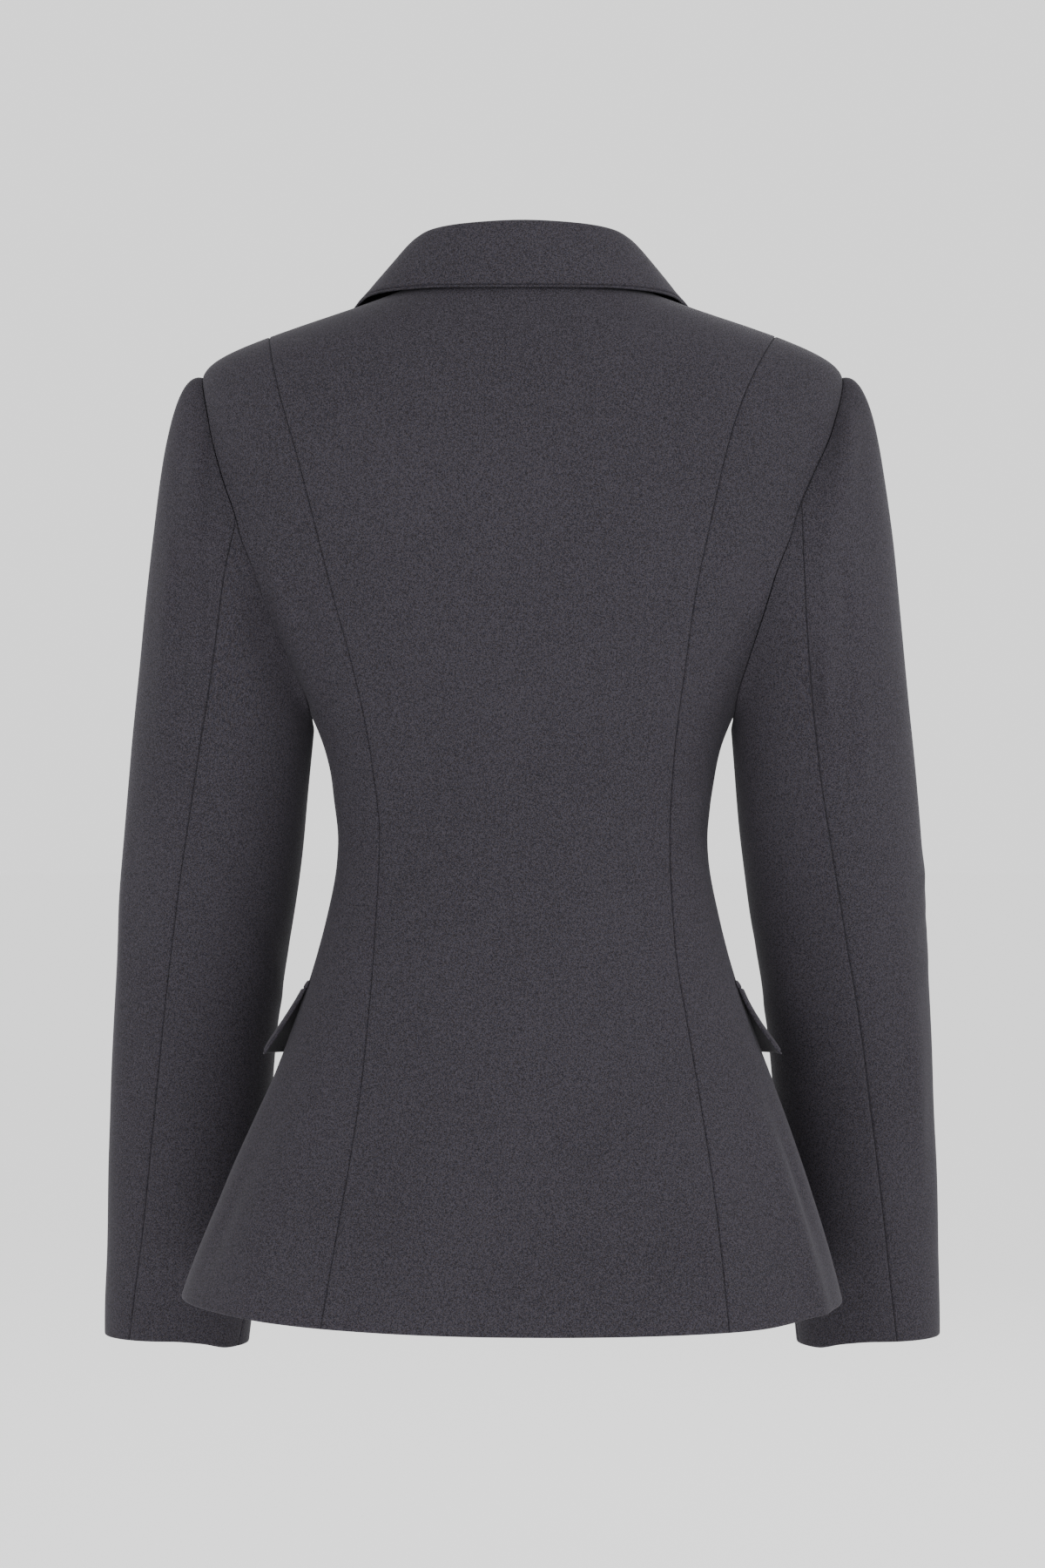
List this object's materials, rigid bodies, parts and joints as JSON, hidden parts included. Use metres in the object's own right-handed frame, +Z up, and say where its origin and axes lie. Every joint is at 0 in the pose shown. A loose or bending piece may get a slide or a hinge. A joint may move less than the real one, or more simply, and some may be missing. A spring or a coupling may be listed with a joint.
{
  "type": "blazer",
  "caption": "Fitted women's tailored blazer, filled out with no wearer: princess seams, turned-down collar, notched lapels, two-piece sleeves, flared skirt with pocket flaps.",
  "frame": {"origin": "middle of the neck opening, level with the two side neck points, where the wearer's neck and shoulders hold the blazer", "axes": "+Z up, the front of the blazer faces -Y, the wearer's left is +X"},
  "size_m": [0.5627, 0.3039, 0.728],
  "materials": {
    "crepe": "matte dark charcoal crepe suiting",
    "button": "satin dark horn"
  },
  "bodies": {
    "root": {"centre_back": "crepe", "side_back_left": "crepe", "side_back_right": "crepe", "side_front_left": "crepe", "side_front_right": "crepe", "front_left": "crepe", "front_right": "crepe", "lapel_left": "crepe", "lapel_right": "crepe", "collar": "crepe", "sleeve_upper_left": "crepe", "sleeve_upper_right": "crepe", "sleeve_under_left": "crepe", "sleeve_under_right": "crepe", "pocket_flap_left": "crepe", "pocket_flap_right": "crepe", "pocket_jet_left": "crepe", "pocket_jet_right": "crepe", "button_upper": "button", "button_lower": "button"}
  },
  "joints": []
}
